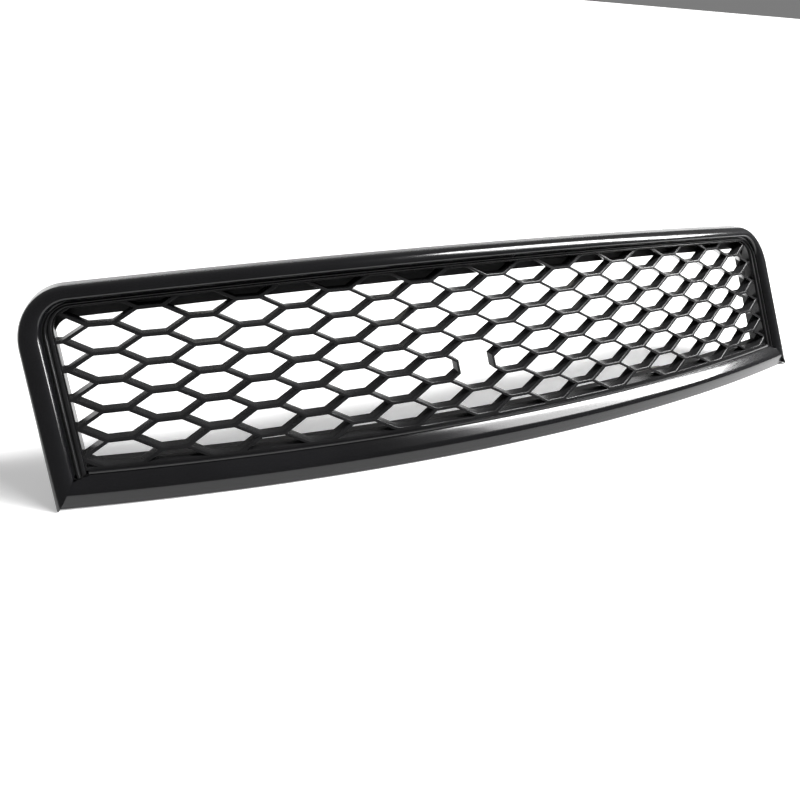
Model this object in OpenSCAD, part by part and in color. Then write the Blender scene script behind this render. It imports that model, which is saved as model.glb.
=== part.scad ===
// Front grille: bowed, reclined surround with a honeycomb mesh, its rear fixings and retainers.
// +X runs along the width, +Y towards the car, +Z up. The origin is on the floor, mid-width.

/* [Overall] */
// Half of the overall width, at the height of the upper corners
half_w = 423; // [412:1:430]
// Height of the mesh's first full row above the floor
row_z = 132; // [132:0.5:136]
// Angle that the face leans back from upright
recline = 30; // [24:1:34]
// Radius of the bow in plan
plan_r = 1848; // [1700:2:2400]

/* [Surround] */
// Height of the arch's crown above the mesh's first row
crown_z = 38; // [37:0.5:40]
// Radius of the arch's crown curve
crown_r = 6266; // [5600:6:8000]
// Outer radius of the upper corners
corner_r = 42; // [40:1:46]
// Angle that the legs lean inwards towards the floor
leg_lean = 4.2; // [3.6:0.2:5]
// Width of a leg's tube seen from the front
leg_w = 19; // [18:0.5:20]
// Height of the top tube seen from the front
rail_h = 12; // [12:0.5:13]
// How far the tube stands in front of the mesh
nose = 10; // [8:0.5:12]
// Wall thickness of the mouldings
wall = 2.4; // [2:0.1:2.6]

/* [Lower bar] */
// Height of the bar's lip below the mesh's first row
lip_drop = 106.5; // [106:0.5:107]
// Depth of the bar from its front face to the back of its shelf
bar_depth = 34; // [32:0.5:36]

/* [Mesh] */
// Distance between the middles of neighbouring columns
pitch = 40; // [40:0.1:40.4]
// Height of one cell
cell_h = 21; // [20.8:0.1:21.2]
// Length of a cell's level edge
flat_w = 19.5; // [18:0.1:20]
// Thickness of the cell walls
web = 2.6; // [2.2:0.1:3]
// Depth of the cell walls
mesh_depth = 11.4; // [10:0.2:11.6]
// Column that holds the bonnet catch opening
catch_column = 8; // [4:2:12]

/* [Fixings] */
// Places of the upper brackets along the width
bracket_x = [-290, -110, 110, 290];
// Places of the lower brackets along the width
foot_x = [-230, 230];
// Radius of a retainer's sleeve below its flange
sleeve_r = 4; // [3.5:0.1:4.2]
// Radius of a retainer's centre pin
pin_r = 2.5; // [2:0.1:2.6]
// Travel of a centre pin from locked to released
pin_travel = 8; // [5:0.5:9]

/* [Hidden] */
$fn = 96;

columns = 19;
gap = 0.3;
seat = 0.15;
far = 400;
slab_fn = 720;
arc_steps = 14;
crown_steps = 12;
tilt_r = plan_r / cos(recline);
base_z = -row_z;
rim_w = 7;
// Half width, crown height and corner radius of the outlines, from the outside in
outer_edge = [half_w, crown_z, corner_r];
tube_edge = [half_w - leg_w, crown_z - rail_h, corner_r - leg_w + 2];
window_edge = [half_w - leg_w - rim_w, crown_z - rail_h - 3.6, corner_r - leg_w - 5];
back_edge = [half_w - leg_w - rim_w, crown_z - rail_h - 14.6, corner_r - leg_w - 7];
tube_back = 11;
flange_back = 14;
shelf_drop = lip_drop + 0.5;
mitre_in = half_w - 25;
mitre_out = half_w - 9;
lip_half = half_w - 36;
bar_front_y = base_z * tan(recline) - 3;
bar_floor = 3;
crown_k = 0.5 / crown_r;
mesh_crown_k = 0.0000312;
border = 1.2;
catch_half = pitch * 0.45;
slant = atan(cell_h / 2 / (pitch - flat_w));
rail_mid = crown_z - rail_h / 2;
screw_r = 1.6;
boss_r = 2.9;
boss_back = 9.1;
neck_r = sleeve_r - 0.7;
leg_boss_front = -4.7;
bracket_t = 2;
foot_t = 2.5;
nut_r = 2.6;
peg_z = -62;
pad_x = 13;
plate_n = normal_of(flange_back, 0) + seat;
peg_plate_t = 3.4;
peg_r = 3.5;
peg_end = 24.6;
peg_root_r = 4.2;
peg_root_end = 14;
side_screw_z = [-12, 21.4];
bracket_screw_rise = 2.5;
key_x = half_w - 53;
key_floor = bar_floor + seat;
key_top = 9;
key_leg = 30;
rim_screw_x = [-355, -200, 0, 200, 355];
leg_screw_z = [-36, -86];
bracket_drop = 13;
tab_r = 14;
tab_start = 1.3;
retainer_back = 24;
shelf_t = 2.4;
rim_floor = -shelf_drop - shelf_t;
mitre_top = rim_floor - 0.4;
shelf_back = 23;
side_wall_back = 24;
side_wall_top = -4;
shelf_half = half_w - 42;
last_x = bracket_x[3];
rear_y = ysurf(last_x, bracket_z(last_x)) + (flange_back + retainer_back) * cos(heading(last_x)) + tab_r;
centre_y = (bar_front_y + rear_y) / 2;

// Place of the mesh's front surface behind the origin line, for a width and a height
function ysurf(x, z) = (tilt_r - sqrt(tilt_r * tilt_r - x * x)) / cos(recline) + z * tan(recline);
// Height of the middle of the top tube at a width
function rail_z(x) = rail_mid - crown_k * x * x;
// Height of an upper bracket's tab
function bracket_z(x) = rail_z(x) - bracket_drop;
// Middle of a leg's tube at a height
function leg_x(z) = leg_edge(outer_edge, z) - leg_w / 2;
// Half width of an outline at a height below its corner
function leg_edge(e, z) = corner_x(e) + e[2] * cos(leg_lean) - (corner_z(e) - e[2] * sin(leg_lean) - z) * tan(leg_lean);
function corner_x(e) = e[0] - e[2];
function corner_z(e) = e[1] - crown_r + sqrt(pow(crown_r - e[2], 2) - pow(corner_x(e), 2));
// Half of the angle that the crown's arc spans
function crown_angle(e) = asin(corner_x(e) / (crown_r - e[2]));
// The right half of an outline, from the foot of the leg up to the crown
function half_outline(e, bottom) = concat([[leg_edge(e, bottom), bottom]],
    [for (i = [0 : arc_steps]) corner_point(e, -leg_lean + (90 - crown_angle(e) + leg_lean) * i / arc_steps)],
    [for (i = [1 : crown_steps]) crown_point(e, crown_angle(e) * (1 - i / crown_steps))]);
function corner_point(e, a) = [corner_x(e) + e[2] * cos(a), corner_z(e) + e[2] * sin(a)];
function crown_point(e, a) = [crown_r * sin(a), e[1] - crown_r + crown_r * cos(a)];

// Outline of the face down to a height: crowned top, round corners and leaning legs
module outline(e, bottom) {
    right = half_outline(e, bottom);
    last = len(right) - 1;
    polygon(concat(right, [for (i = [1 : last]) [-right[last - i][0], right[last - i][1]]]));
}

// An edge moved outwards (positive) or inwards (negative)
function grow(e, side, top) = [e[0] + side, e[1] + top, e[2] + side];

// Extrudes an outline drawn in width and height along the depth
module along_depth() {
    rotate([90, 0, 0])
        linear_extrude(far, center = true)
            children();
}

module lean_cylinder(y) {
    translate([0, y, 0])
        rotate([-recline, 0, 0])
            translate([0, tilt_r, 0])
                cylinder(h = 2 * far, r = tilt_r, center = true, $fn = slab_fn);
}

// The bowed, leaning layer between two distances behind the mesh's front
module layer(front, back) {
    intersection() {
        difference() {
            lean_cylinder(front);
            lean_cylinder(back);
        }
        along_depth()
            children();
    }
}

// The part's own frame stands on the floor, centred in depth
module place() {
    translate([0, -centre_y, row_z])
        children();
}

// A frame on the mesh's front surface whose +Y is the surface's inward normal
module on_surface(x, z) {
    translate([x, ysurf(x, z), z])
        rotate([-recline, 0, 0])
            rotate([0, 0, asin(x / tilt_r)])
                children();
}

// A level frame on the surface, turned with the bow
module level_on_surface(x, z) {
    translate([x, ysurf(x, z), z])
        rotate([0, 0, heading(x)])
            children();
}

// Distance along the normal for a distance along the depth
function normal_of(behind, x) = behind * cos(recline) * cos(asin(x / tilt_r));
function heading(x) = atan(x / plan_r);

// Everything that lies inside the mitres, where the lower bar runs
module mitre_area(clear) {
    polygon([[-mitre_out - clear, base_z - 1], [-mitre_in - clear, mitre_top + clear],
        [mitre_in + clear, mitre_top + clear], [mitre_out + clear, base_z - 1]]);
}

// A ring between two edges, cut off at the mitres
module ring(outside, inside, bottom) {
    difference() {
        outline(outside, bottom);
        outline(inside, base_z - 5);
        mitre_area(0.2);
    }
}

// Where the rim's screws go along the top tube
module at_top_rim_screws() {
    for (x = rim_screw_x)
        on_surface(x, rail_z(x))
            children();
}

// Where the rim's screws go down each leg
module at_leg_rim_screws() {
    for (side = [-1, 1], z = leg_screw_z)
        on_surface(side * leg_x(z), z)
            children();
}

// Two screws through the foot of each upper bracket
module at_bracket_screws() {
    for (x = bracket_x, side = [-1, 1])
        on_surface(x, rail_z(x))
            translate([side * pad_x, 0, bracket_screw_rise])
                children();
}

// Two screws through each side bracket
module at_side_screws() {
    for (side = [-1, 1], dz = side_screw_z)
        on_surface(side * leg_x(peg_z), peg_z)
            translate([0, 0, dz])
                children();
}

module at_top_screws() {
    at_top_rim_screws()
        children();
    at_bracket_screws()
        children();
}

module at_leg_screws() {
    at_leg_rim_screws()
        children();
    at_side_screws()
        children();
}

module at_all_screws() {
    at_top_screws()
        children();
    at_leg_screws()
        children();
}

// A round bar along the frame's +Y between two distances
module bar_along(from, to, r) {
    translate([0, from, 0])
        rotate([-90, 0, 0])
            cylinder(h = to - from, r = r);
}

// The hollow tube that forms the top and the two legs, with bosses for its screws
module surround_arch() {
    color([0.02, 0.02, 0.02]) place() difference() {
        union() {
            difference() {
                union() {
                    layer(-4, tube_back)
                        ring(outer_edge, tube_edge, base_z);
                    layer(-8, -4)
                        ring(grow(outer_edge, -2, -1.5), grow(tube_edge, 2, 1.5), base_z + 1);
                    layer(-nose, -8)
                        ring(grow(outer_edge, -5, -3.5), grow(tube_edge, 5, 3.5), base_z + 2);
                }
                layer(-nose + 5, tube_back + 1)
                    ring(grow(outer_edge, -wall - 2, -wall), grow(tube_edge, wall + 2, wall), base_z - 1);
            }
            at_top_screws()
                bar_along(-1, boss_back, boss_r);
            at_leg_screws()
                bar_along(leg_boss_front, boss_back, boss_r);
        }
        at_all_screws()
            bar_along(0, 20, screw_r + 0.05);
    }
}

// The bar's section, as distance behind its front face and height above the floor
module bar_section() {
    top = row_z - lip_drop;
    polygon([[0, 0], [0, 10], [1, 13], [3, 15.4], [12, top - 2.2], [12.6, top - 2.8], [13.2, top - 2],
        [13.8, top], [15.2, top], [15.6, top - 3.4], [bar_depth, top - 3.4], [bar_depth, top - 3.4 - wall],
        [16, top - 3.4 - wall], [5, 13.6], [3, 10], [3, bar_floor], [bar_depth - 4, bar_floor],
        [bar_depth - 4, 0]]);
}

module bar_sweep() {
    translate([0, bar_front_y + plan_r, base_z])
        rotate([0, 0, -90 - 14])
            rotate_extrude(angle = 28, $fn = slab_fn)
                translate([plan_r, 0])
                    mirror([1, 0])
                        children();
}

function foot_y(x) = bar_front_y + x * x / 2 / plan_r;

module at_foot_screws() {
    for (x = foot_x, dx = [-9, 9])
        translate([x + dx, foot_y(x) + 20, base_z])
            children();
}

// The bar seen from the front: mitred ends below, a straight lip between the legs above
module bar_area() {
    right = [[mitre_out, base_z - 1], [mitre_in, mitre_top], [lip_half, mitre_top], [lip_half, mitre_top + 12]];
    polygon(concat(right, [for (i = [3 : -1 : 0]) [-right[i][0], right[i][1]]]));
}

// The plinth along the bottom, with a lip, a shoulder and a shelf
module lower_bar() {
    color([0.02, 0.02, 0.02]) place() difference() {
        intersection() {
            bar_sweep()
                bar_section();
            along_depth()
                bar_area();
        }
        at_foot_screws()
            translate([0, 0, -1])
                cylinder(h = bar_floor + 2, r = screw_r + 0.05);
        at_key_screws()
            translate([0, 0, -1])
                cylinder(h = bar_floor + 2, r = screw_r + 0.05);
    }
}

// The frame around the mesh: a bead in front, a wall and a flange that closes the tube
module mesh_rim() {
    color([0.05, 0.05, 0.05]) place() difference() {
        union() {
            layer(-3.4, -1.9)
                rim_ring(grow(tube_edge, -2.6, -1), grow(window_edge, 2.2, 1), -shelf_drop);
            layer(-2, 3)
                rim_ring(grow(tube_edge, -gap, -gap), window_edge, -shelf_drop);
            layer(2.9, tube_back + gap + 0.1)
                rim_ring(grow(window_edge, 3, 2.6), window_edge, rim_floor);
            layer(tube_back + gap, flange_back)
                rim_ring(grow(outer_edge, -4, -3), back_edge, rim_floor);
            layer(flange_back - 0.1, shelf_back)
                polygon([[-shelf_half, -shelf_drop], [shelf_half, -shelf_drop],
                    [shelf_half, rim_floor], [-shelf_half, rim_floor]]);
            layer(flange_back - 0.1, side_wall_back)
                intersection() {
                    rim_ring(grow(window_edge, 3, 2.6), window_edge, rim_floor);
                    translate([-half_w, rim_floor])
                        square([2 * half_w, side_wall_top - rim_floor]);
                    side_wall_area();
                }
        }
        at_all_screws()
            bar_along(0, 40, screw_r + 0.4);
    }
}

// Where the deep side walls run, clear of the shelf between them
module side_wall_area() {
    for (side = [-1, 1])
        translate([side * half_w, 0])
            square([120, far], center = true);
}

// A ring of the rim, closed along the bottom by the shelf
module rim_ring(outside, inside, bottom) {
    difference() {
        outline(outside, bottom);
        intersection() {
            outline(inside, base_z - 5);
            translate([-half_w, -shelf_drop])
                square([2 * half_w, 400]);
        }
        mitre_area(0.3);
    }
}

function cell_side() = pitch - flat_w / 2 - web / 2 / sin(slant);
function cell_top() = cell_side() - (cell_h - web) / 2 / tan(slant);
// The mesh's rows drop a little towards its ends
function drop(p) = [p[0], p[1] - mesh_crown_k * p[0] * p[0]];

// One six-sided opening
module cell(x, z) {
    t = cell_top();
    s = cell_side();
    h = (cell_h - web) / 2;
    polygon([for (p = [[-s, 0], [-t, h], [t, h], [s, 0], [t, -h], [-t, -h]]) drop([x + p[0], z + p[1]])]);
}

// Half of the height at which a cell's slanted side meets the catch opening's upright side
function catch_wall_half() = cell_h / 2 - (cell_side() - catch_half) * tan(slant);

// The opening for the bonnet catch lever: two cells run together between two upright sides
module catch_opening(x, z) {
    for (side = [-1, 1])
        cell(x, z + side * cell_h / 2);
    translate(drop([x, z]))
        square([2 * catch_half, cell_h], center = true);
}

function column_x(k) = (k - (columns - 1) / 2) * pitch;

module openings() {
    for (k = [-1 : columns], row = [-1 : 5]) {
        shift = (k % 2 == 0) ? 0.5 : 0;
        is_catch = k == catch_column && (row == 2 || row == 3);
        if (!is_catch)
            cell(column_x(k), -(row + shift) * cell_h);
    }
    catch_opening(column_x(catch_column), -3 * cell_h);
}

// The walls that bound the catch opening
module catch_walls() {
    for (side = [-1, 1])
        translate(drop([column_x(catch_column) + side * (catch_half + web / 2), -3 * cell_h]))
            square([web, 2 * catch_wall_half()], center = true);
}

// The mesh's outline, a distance inside the rim's wall and above its shelf
module mesh_outline(inset) {
    outline(grow(window_edge, -inset, -inset), inset - shelf_drop);
}

// The honeycomb itself, with a thin border round it
module honeycomb_mesh() {
    color([0.08, 0.08, 0.08]) place() layer(0, mesh_depth - gap)
        difference() {
            mesh_outline(seat);
            intersection() {
                mesh_outline(seat + border);
                difference() {
                    openings();
                    catch_walls();
                }
            }
        }
}

// Where a screw holds each corner key down on the lower bar's floor
module at_key_screws() {
    for (x = [-key_x, key_x])
        translate([x, foot_y(x) + 14, base_z])
            children();
}

// An angle piece that joins a leg to the lower bar inside the mitre
module corner_key(side) {
    difference() {
        union() {
            layer(3, 8.5)
                intersection() {
                    difference() {
                        outline(grow(outer_edge, -wall - 3, 0), base_z + 5);
                        outline(grow(tube_edge, wall + 3, 0), base_z - 5);
                    }
                    translate([side * 300 - 150, base_z + 5])
                        square([300, key_leg]);
                }
            intersection() {
                bar_sweep()
                    translate([8, key_floor])
                        square([12, key_top - key_floor]);
                translate([side * (key_x + 7), 0, 0])
                    cube([54, far, 2 * far], center = true);
            }
        }
        at_key_screws()
            cylinder(h = 30, r = screw_r + 0.3);
    }
}

module corner_key_left() {
    color([0.12, 0.12, 0.12]) place() corner_key(-1);
}

module corner_key_right() {
    color([0.12, 0.12, 0.12]) place() corner_key(1);
}

// A pan head screw with its head's underside at the origin, pointing back along -Z
module pan_screw(length) {
    difference() {
        cylinder(h = 2.2, r = 3.4);
        translate([0, 0, 1])
            cylinder(h = 2, r = 1.3, $fn = 6);
    }
    translate([0, 0, -length])
        cylinder(h = length + 0.5, r = screw_r);
}

module corner_key_screws() {
    color([0.6, 0.6, 0.62]) place() at_key_screws()
        translate([0, 0, key_top])
            pan_screw(8);
}

// A pan head screw whose head seats at a distance behind the surface
module seated_screw(seat_back, length) {
    translate([0, seat_back, 0])
        rotate([-90, 0, 0])
            pan_screw(length);
}

module rim_screws() {
    color([0.6, 0.6, 0.62]) place() {
        at_top_rim_screws()
            seated_screw(plate_n, 11);
        at_leg_rim_screws()
            seated_screw(plate_n, 11);
    }
}

// A folded steel tab: a foot on the rim's flange and a level tab with a hole
module upper_bracket(x) {
    z = bracket_z(x);
    difference() {
        union() {
            on_surface(x, rail_z(x))
                translate([-20, plate_n, -17])
                    cube([40, bracket_t, 24]);
            level_on_surface(x, z) {
                translate([-tab_r, flange_back + tab_start, 0])
                    cube([2 * tab_r, retainer_back - tab_start, bracket_t]);
                translate([0, flange_back + retainer_back, 0])
                    cylinder(h = bracket_t, r = tab_r);
            }
        }
        on_surface(x, rail_z(x))
            for (side = [-1, 1])
                translate([side * pad_x, 0, bracket_screw_rise])
                    bar_along(5, 30, screw_r + 0.4);
        level_on_surface(x, z)
            translate([0, flange_back + retainer_back, -1])
                cylinder(h = 5, r = sleeve_r + 0.15);
    }
}

module upper_bracket_1() {
    color([0.5, 0.5, 0.52]) place() upper_bracket(bracket_x[0]);
}

module upper_bracket_2() {
    color([0.5, 0.5, 0.52]) place() upper_bracket(bracket_x[1]);
}

module upper_bracket_3() {
    color([0.5, 0.5, 0.52]) place() upper_bracket(bracket_x[2]);
}

module upper_bracket_4() {
    color([0.5, 0.5, 0.52]) place() upper_bracket(bracket_x[3]);
}

module upper_bracket_screws() {
    color([0.6, 0.6, 0.62]) place() at_bracket_screws()
        seated_screw(plate_n + bracket_t + seat, 13);
}

// A flat foot that sits on the bar's floor and ends in a turned-down edge
module lower_bracket(x) {
    translate([x, foot_y(x), base_z]) difference() {
        union() {
            translate([-18, 10, bar_floor + 0.2])
                cube([36, 66, foot_t]);
            translate([-18, 76 - foot_t, 0])
                cube([36, foot_t, bar_floor + 0.2 + foot_t]);
        }
        for (dx = [-9, 9])
            translate([dx, 20, 0])
                cylinder(h = 20, r = screw_r + 0.4);
        translate([0, 56, 0])
            cylinder(h = 20, r = 3.3);
    }
}

module lower_bracket_left() {
    color([0.5, 0.5, 0.52]) place() lower_bracket(foot_x[0]);
}

module lower_bracket_right() {
    color([0.5, 0.5, 0.52]) place() lower_bracket(foot_x[1]);
}

module lower_bracket_screws() {
    color([0.6, 0.6, 0.62]) place() at_foot_screws()
        translate([0, 0, bar_floor + 0.2 + foot_t])
            pan_screw(5.4);
}

// A spring nut folded over the foot's side edge, with a threaded neck
module spring_nut() {
    difference() {
        union() {
            translate([-8, -7, -1.1])
                cube([27.2, 14, 1]);
            translate([-8, -7, foot_t + 0.1])
                cube([27.2, 14, 1]);
            translate([18.2, -7, -1.1])
                cube([1, 14, foot_t + 2.2]);
            translate([0, 0, foot_t + 0.1])
                cylinder(h = 6, r = 4.6);
        }
        translate([0, 0, -2])
            cylinder(h = 20, r = nut_r);
    }
}

module lower_spring_nuts() {
    color([0.3, 0.3, 0.32]) place() for (x = foot_x)
        translate([x, foot_y(x) + 56, base_z + bar_floor + 0.2])
            spring_nut();
}

// A plate with a locating peg on the back of a leg
module side_bracket(side) {
    x = side * leg_x(peg_z);
    difference() {
        union() {
            on_surface(x, peg_z)
                translate([-7.5, plate_n, -17])
                    cube([15, peg_plate_t, 42.6]);
            translate([x, ysurf(x, peg_z) + flange_back, peg_z])
                rotate([-90, 0, 0]) {
                    cylinder(h = peg_root_end, r = peg_root_r);
                    cylinder(h = peg_end, r = peg_r);
                }
        }
        on_surface(x, peg_z)
            translate([-10, plate_n - 20, -30])
                cube([20, 20, 60]);
        at_side_screws()
            bar_along(5, 30, screw_r + 0.4);
    }
}

module side_bracket_left() {
    color([0.12, 0.12, 0.12]) place() side_bracket(-1);
}

module side_bracket_right() {
    color([0.12, 0.12, 0.12]) place() side_bracket(1);
}

module side_bracket_screws() {
    color([0.6, 0.6, 0.62]) place() at_side_screws()
        seated_screw(plate_n + peg_plate_t + seat, 15);
}

// A rubber collar near the root of a peg
module peg_grommet(side) {
    x = side * leg_x(peg_z);
    translate([x, ysurf(x, peg_z) + flange_back + 9, peg_z])
        rotate([-90, 0, 0])
            difference() {
                union() {
                    cylinder(h = 2, r = 6);
                    cylinder(h = 4.6, r = 5.2);
                }
                translate([0, 0, -1])
                    cylinder(h = 8, r = peg_root_r + 0.05);
            }
}

module peg_grommet_left() {
    color([0.1, 0.1, 0.1]) place() peg_grommet(-1);
}

module peg_grommet_right() {
    color([0.1, 0.1, 0.1]) place() peg_grommet(1);
}

module at_retainer(x) {
    level_on_surface(x, bracket_z(x))
        translate([0, flange_back + retainer_back, bracket_t + seat / 2])
            children();
}

// A push-in sleeve with a flange and a bore for its centre pin
module sleeve() {
    difference() {
        union() {
            cylinder(h = 2, r = 8.5);
            translate([0, 0, -2.2])
                cylinder(h = 3, r = neck_r);
            translate([0, 0, -12])
                cylinder(h = 9.8, r = sleeve_r);
        }
        translate([0, 0, -20])
            cylinder(h = 40, r = pin_r + 0.05);
    }
}

module retainer_sleeves() {
    color([0.1, 0.1, 0.1]) place() for (x = bracket_x)
        at_retainer(x)
            sleeve();
}

// A centre pin, pushed home
module retainer_pin(x) {
    at_retainer(x) {
        translate([0, 0, 2.1])
            cylinder(h = 2, r = 5.5);
        translate([0, 0, -pin_travel - 3])
            cylinder(h = pin_travel + 6, r = pin_r);
    }
}

module retainer_pin_1() {
    color([0.14, 0.14, 0.14]) place() retainer_pin(bracket_x[0]);
}

module retainer_pin_2() {
    color([0.14, 0.14, 0.14]) place() retainer_pin(bracket_x[1]);
}

module retainer_pin_3() {
    color([0.14, 0.14, 0.14]) place() retainer_pin(bracket_x[2]);
}

module retainer_pin_4() {
    color([0.14, 0.14, 0.14]) place() retainer_pin(bracket_x[3]);
}

// The foam strip behind the top tube, between the outer rim screws
module bonnet_seal() {
    color([0.16, 0.16, 0.16]) place() layer(flange_back, flange_back + 5)
        intersection() {
            difference() {
                outline(grow(outer_edge, -4.5, -4.6), 0);
                outline(grow(outer_edge, -9, -8.2), -20);
            }
            union() {
                for (x = [-243, -155, -55, 55, 155, 243])
                    translate([x - 24, 0])
                        square([48, 60]);
            }
        }
}

// Foam pads on the back of the legs
module anti_rattle_pads() {
    color([0.16, 0.16, 0.16]) place() layer(flange_back, flange_back + 4)
        for (side = [-1, 1])
            translate([side * leg_x(-22) - 5, -30])
                square([10, 18]);
}

surround_arch();
lower_bar();
mesh_rim();
honeycomb_mesh();
corner_key_left();
corner_key_right();
corner_key_screws();
rim_screws();
upper_bracket_1();
upper_bracket_2();
upper_bracket_3();
upper_bracket_4();
upper_bracket_screws();
lower_bracket_left();
lower_bracket_right();
lower_bracket_screws();
lower_spring_nuts();
side_bracket_left();
side_bracket_right();
side_bracket_screws();
peg_grommet_left();
peg_grommet_right();
retainer_sleeves();
retainer_pin_1();
retainer_pin_2();
retainer_pin_3();
retainer_pin_4();
bonnet_seal();
anti_rattle_pads();
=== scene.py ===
"""Looks of the front grille: a gloss surround, a honeycomb mesh and its rear fixings."""
import logging
import math
from dataclasses import dataclass, field
from enum import Enum

import bmesh
import bpy
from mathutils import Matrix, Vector
from mathutils.geometry import delaunay_2d_cdt


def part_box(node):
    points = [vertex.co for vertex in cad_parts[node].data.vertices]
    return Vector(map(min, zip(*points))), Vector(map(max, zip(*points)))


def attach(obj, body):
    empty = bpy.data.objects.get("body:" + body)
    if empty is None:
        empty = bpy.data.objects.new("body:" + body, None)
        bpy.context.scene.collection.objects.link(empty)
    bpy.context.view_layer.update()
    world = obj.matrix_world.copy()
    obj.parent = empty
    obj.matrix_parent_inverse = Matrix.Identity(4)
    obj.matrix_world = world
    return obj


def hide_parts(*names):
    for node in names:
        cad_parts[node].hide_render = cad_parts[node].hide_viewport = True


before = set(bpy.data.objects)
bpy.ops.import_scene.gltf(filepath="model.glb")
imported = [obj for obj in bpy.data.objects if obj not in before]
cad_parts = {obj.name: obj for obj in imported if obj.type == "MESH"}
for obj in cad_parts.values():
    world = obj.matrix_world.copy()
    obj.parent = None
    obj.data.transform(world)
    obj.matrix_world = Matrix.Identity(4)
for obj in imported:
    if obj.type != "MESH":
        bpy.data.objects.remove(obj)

logging.basicConfig(level=logging.INFO, format="%(message)s")
LOG = logging.getLogger("front_grille")

MM = 0.001
Pair = tuple[float, float]
Triple = tuple[float, float, float]
Colour = Triple


class Shading(Enum):
    """The angle between faces, in degrees, above which their shared edge is a crease."""

    ROUND = 180.0
    CREASED = 32.0


class Softening(Enum):
    """How wide the edges of a node kept from the frame are rounded, in millimetres."""

    SCREW = 0.12
    MOULDED = 0.25
    PRESSED = 0.3


# ---------------------------------------------------------------- finishes


class Nodes:
    """A material's node tree, with short calls to add and join its nodes."""

    def __init__(self, name: str) -> None:
        """Starts an empty material.

        Args:
            name: the material's name.
        """
        self.material = bpy.data.materials.new(name)
        self.material.use_nodes = True
        self.tree = self.material.node_tree
        self.tree.nodes.clear()
        self.shader = self.add("ShaderNodeBsdfPrincipled")
        output = self.add("ShaderNodeOutputMaterial")
        self.join(self.shader, "BSDF", output, "Surface")
        self.place = self.add("ShaderNodeTexCoord")

    def add(self, kind: str, **settings: object) -> bpy.types.Node:
        """Adds a node and sets its properties.

        Args:
            kind: the node's type name.
            settings: property names and values.

        Returns:
            The new node.
        """
        node = self.tree.nodes.new(kind)
        for key, value in settings.items():
            setattr(node, key, value)
        return node

    def join(self, source: bpy.types.Node, out: str, target: bpy.types.Node, into: str | int) -> None:
        """Links an output socket to an input socket."""
        self.tree.links.new(source.outputs[out], target.inputs[into])

    def noise(self, scale: float, detail: float = 3.0,
              stretch: Triple = (1, 1, 1)) -> bpy.types.Node:
        """A noise texture in the object's own metres.

        Args:
            scale: cycles per metre.
            detail: octaves of finer noise.
            stretch: scale of each axis.

        Returns:
            The noise node.
        """
        mapping = self.add("ShaderNodeMapping")
        mapping.inputs["Scale"].default_value = stretch
        self.join(self.place, "Object", mapping, "Vector")
        node = self.add("ShaderNodeTexNoise")
        node.inputs["Scale"].default_value = scale
        node.inputs["Detail"].default_value = detail
        self.join(mapping, "Vector", node, "Vector")
        return node

    def ramp(self, source: bpy.types.Node, out: str, low: Colour, high: Colour,
             start: float, end: float) -> bpy.types.Node:
        """A two-stop colour ramp driven by a socket.

        Args:
            source: node that drives the ramp.
            out: its output socket.
            low: colour at the start.
            high: colour at the end.
            start: position of the low stop.
            end: position of the high stop.

        Returns:
            The ramp node.
        """
        node = self.add("ShaderNodeValToRGB")
        node.color_ramp.elements[0].position = start
        node.color_ramp.elements[1].position = end
        node.color_ramp.elements[0].color = (*low, 1.0)
        node.color_ramp.elements[1].color = (*high, 1.0)
        self.join(source, out, node, "Fac")
        return node

    def spread(self, source: bpy.types.Node, out: str, low: float, high: float) -> bpy.types.Node:
        """Maps a 0 to 1 socket to a range of values.

        Args:
            source: node that gives the value.
            out: its output socket.
            low: result at 0.
            high: result at 1.

        Returns:
            The map range node.
        """
        node = self.add("ShaderNodeMapRange")
        node.inputs["To Min"].default_value = low
        node.inputs["To Max"].default_value = high
        self.join(source, out, node, "Value")
        return node

    def bump(self, source: bpy.types.Node, out: str, height: float, strength: float) -> None:
        """Adds surface relief from a texture.

        Args:
            source: node that gives the height.
            out: its output socket.
            height: relief in metres.
            strength: share of the relief that shows.
        """
        node = self.add("ShaderNodeBump")
        node.inputs["Strength"].default_value = strength
        node.inputs["Distance"].default_value = height
        self.join(source, out, node, "Height")
        self.join(node, "Normal", self.shader, "Normal")

    def fixed(self, **values: float) -> None:
        """Sets constant sockets on the shader.

        Args:
            values: metallic, coat, coat_roughness, specular, ior or sheen, with their values.
        """
        names = {"metallic": "Metallic", "coat": "Coat Weight", "coat_roughness": "Coat Roughness",
                 "specular": "Specular IOR Level", "ior": "IOR", "sheen": "Sheen Weight"}
        for key, value in values.items():
            self.shader.inputs[names[key]].default_value = value


@dataclass(frozen=True)
class GlossMoulding:
    """High-gloss moulded plastic with a faint orange peel and dust."""

    name: str
    deep: Colour
    pale: Colour
    roughness: Pair = (0.13, 0.2)
    cloud: float = 9.0
    smear: float = 38.0
    smear_lines: Triple = (1.0, 1.0, 2.2)
    peel: float = 420.0
    relief: float = 0.00004

    def build(self) -> bpy.types.Material:
        """Makes the material.

        Returns:
            The material.
        """
        n = Nodes(self.name)
        cloud = n.noise(self.cloud, 4.0)
        tint = n.ramp(cloud, "Fac", self.deep, self.pale, 0.35, 0.7)
        n.join(tint, "Color", n.shader, "Base Color")
        smear = n.noise(self.smear, 5.0, self.smear_lines)
        rough = n.spread(smear, "Fac", *self.roughness)
        n.join(rough, "Result", n.shader, "Roughness")
        peel = n.noise(self.peel, 2.0)
        n.bump(peel, "Fac", self.relief, 0.22)
        n.fixed(coat=0.15, coat_roughness=0.06, ior=1.42)
        return n.material


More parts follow.
